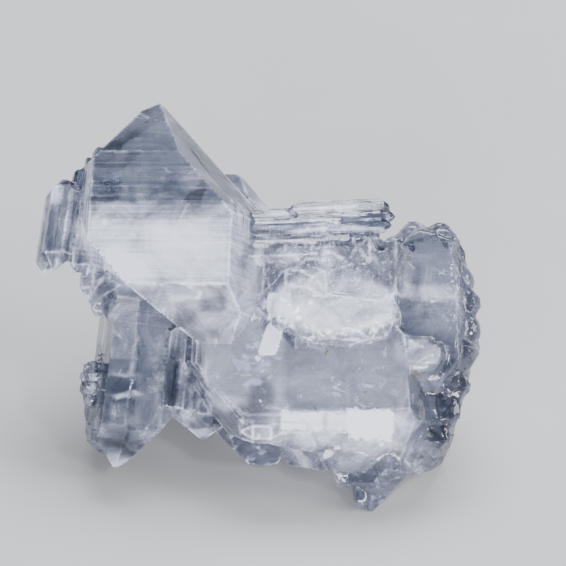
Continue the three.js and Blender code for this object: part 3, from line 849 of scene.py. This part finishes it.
# pattern, its span, the milk at the span's start and end, and the finish that says where
MILK_PATTERNS = [
    (noise_texture(place, *CLOUD_NOISE), (0.3, 0.7), -0.22, 0.22, "clouded"),
    (noise_texture(place, *WISP_NOISE), (0.60, 0.72), 0.0, 0.22, None),
    (field_values["Fleck"], (0.0, 1.0), 0.0, 0.5, None),
    # white pinpricks: partly whitish sugar, partly painted sparkle
    (noise_texture(place, *PINPRICK_NOISE), (0.55, 0.72), 0.0, 0.5, "sugar_and_painted_sparkle"),
    (streaks, (0.35, 0.65), -0.3, 0.3, "streaked"),
    (lines, (0.3, 0.7), -0.1, 0.1, "lined"),
    # white along long edges: partly bruising, partly a painted edge highlight
    (noise_texture(place, *BRUISE_AND_HIGHLIGHT_NOISE), (0.38, 0.65), 0.06, 0.42, "edge_wear_and_highlight"),
]
milk = field_values["Milk"]
for pattern, span, low, high, finish in MILK_PATTERNS:
    added = ranged(pattern, span, low, high)
    if finish:
        added = combined("MULTIPLY", added, attribute(finish))
    milk = combined("ADD", milk, added)
print(len(MILK_PATTERNS), "patterns in the milk")

# %% [markdown]
# Clear stone takes a slate blue, which tints the light that passes, and milky stone a cool white. A ramp
# of three colours does it. Stains and specks of clay lie on the surface only, as thin paint over that
# colour.

# %% Colour
CLEAR_COLOUR, HALF_COLOUR, MILK_COLOUR = "#5b6277", "#9a9fb3", "#e8eeff"
DIRT_COLOURS = {"Stain": "#615a2c", "Speck": "#2e3238"}
DIRT_STRENGTH = 0.85

ramp_node = add_node(tree, "ShaderNodeValToRGB", inputs={"Fac": milk})
ramp = ramp_node.color_ramp.elements
ramp[0].position, ramp[0].color = 0.0, linear(CLEAR_COLOUR)
ramp[1].position, ramp[1].color = 1.0, linear(MILK_COLOUR)
ramp.new(0.5).color = linear(HALF_COLOUR)
stone_colour = ramp_node.outputs["Color"]
for name, dirt_colour in DIRT_COLOURS.items():
    share = combined("MULTIPLY", field_values[name], DIRT_STRENGTH)
    # a Mix node of colours takes the share in its input 0 and the two colours in 6 and 7
    stone_colour = add_node(tree, "ShaderNodeMix", {"data_type": "RGBA"},
                            {0: share, 6: stone_colour, 7: linear(dirt_colour)}).outputs[2]
print(len(DIRT_COLOURS), "kinds of dirt")

# %% [markdown]
# The more milk, the less light the surface lets through, and dirt lets little through. Soft parts are a
# bit duller. Inside, the stone takes away some light on the way, so that thick parts are darker.

# %% Surface
QUARTZ_IOR = 1.544
MILK_SPAN, MOST_LIGHT, LEAST_LIGHT = (0.15, 0.9), 0.92, 0.12
LIGHT_UNDER_DIRT = 0.2
PIT_SPAN, SMOOTHEST, PITTED = (0.3, 0.7), 0.02, 0.07
SOFT_SPAN, SOFT_ROUGHNESS = (0.1, 0.9), 0.12
TINT, TINT_DENSITY = "#b9c3d4", 80.0

dirt = combined("MAXIMUM", field_values["Stain"], field_values["Speck"])
lets_through = combined("MULTIPLY", ranged(milk, MILK_SPAN, MOST_LIGHT, LEAST_LIGHT, smooth=True),
                        ranged(dirt, (0.0, 1.0), 1.0, LIGHT_UNDER_DIRT))
roughness = combined("ADD", ranged(pits, PIT_SPAN, SMOOTHEST, PITTED),
                     ranged(attribute("soft"), SOFT_SPAN, 0.0, SOFT_ROUGHNESS))
surface = add_node(tree, "ShaderNodeBsdfPrincipled", inputs={
    "Base Color": stone_colour,
    "Roughness": roughness,
    "IOR": QUARTZ_IOR,
    "Transmission Weight": lets_through,
    "Normal": facet_normal,
})
absorb = add_node(tree, "ShaderNodeVolumeAbsorption", inputs={
    "Color": linear(TINT), "Density": TINT_DENSITY})
add_node(tree, "ShaderNodeOutputMaterial", inputs={
    "Surface": surface.outputs["BSDF"], "Volume": absorb.outputs["Volume"]})
body_mesh.materials.append(quartz_material)
print(len(tree.nodes), "nodes in the quartz")

# %% [markdown]
# ## Small crystals
# A sugar of crystals, up to 0.6 mm long, sits where the large ones meet and on the right flank. They
# could be scattered by a particle system. One joined mesh, laid on the skin's own squares, is simpler and
# exports.

# %% Small crystals
# centre and half size in mm, how many, and the longest in mm
SUGARED = [
    ("left_druse", (-18.4, -0.5, 15.2), (1.4, 3.2, 2.8), 110, 0.45),
    ("left_rim", (-18.2, -5, 12.4), (1.4, 3.4, 4), 30, 0.35),
    ("stubs", (-17.2, 10.5, 18.5), (2.6, 3, 3), 30, 0.6),
    ("right_edge", (25.2, -1, 11.5), (2.6, 13, 6), 60, 0.35),
    ("right_top", (21, 19.4, 14.5), (5, 1.8, 4), 12, 0.3),
    ("lump_crevice", (6.5, 12.2, 18), (6, 1.2, 2.4), 30, 0.6),
    ("middle_corner", (1.8, -3.2, 16.8), (2.4, 1.6, 1.6), 12, 0.4),
    ("right_foot", (20, -8, 12), (3, 2, 3), 14, 0.4),
]
SUNK = 0.35                             # share of its length that a small crystal is in the stone
SLIM = 0.26                             # half its width as a share of its length
SHOULDER = 0.7                          # share of its length where its point starts
SHORTEST = 0.4                          # share of the longest
TILT_SPREAD = 0.5                       # how far they lean away from straight out
random.seed(7)


def add_small_crystal(into, root, along, length):
    """A six-sided prism with a point, its foot in the stone."""
    start = root - along * length * SUNK
    first = along.orthogonal().normalized() * length * SLIM
    second = along.cross(first)
    rings = []
    for level in (0.0, SHOULDER):
        middle = start + along * length * level
        turns = [side * math.tau / SIDES for side in range(SIDES)]
        rings.append([into.verts.new(middle + first * math.cos(turn) + second * math.sin(turn))
                      for turn in turns])
    point = into.verts.new(start + along * length)
    for side in range(SIDES):
        after = (side + 1) % SIDES
        into.faces.new((rings[0][side], rings[0][after], rings[1][after], rings[1][side]))
        into.faces.new((rings[1][side], rings[1][after], point))
    into.faces.new(list(reversed(rings[0])))


# %% Sow the small crystals
centres = np.array([tuple(polygon.center) for polygon in body_mesh.polygons]) / MM
centres_main = centres @ TO_MAIN
sugar = bmesh.new()
for name, centre, half, count, longest in SUGARED:
    near = np.flatnonzero((np.abs(centres_main - np.array(centre)) < np.array(half)).all(axis=1))
    for number in random.sample(list(near), min(count, len(near))):
        polygon = body_mesh.polygons[int(number)]
        tilt = Vector([random.gauss(0, TILT_SPREAD) for _ in range(3)])
        add_small_crystal(sugar, polygon.center.copy(), (polygon.normal + tilt).normalized(),
                          longest * MM * random.uniform(SHORTEST, 1.0))
sugar_mesh = bpy.data.meshes.new("small_crystals")
sugar.to_mesh(sugar_mesh)
sugar_mesh.materials.append(quartz_material)
small_crystals = bpy.data.objects.new("small_crystals", sugar_mesh)
bpy.context.scene.collection.objects.link(small_crystals)
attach(small_crystals, "root")
print(len(sugar_mesh.polygons), "faces in the small crystals")
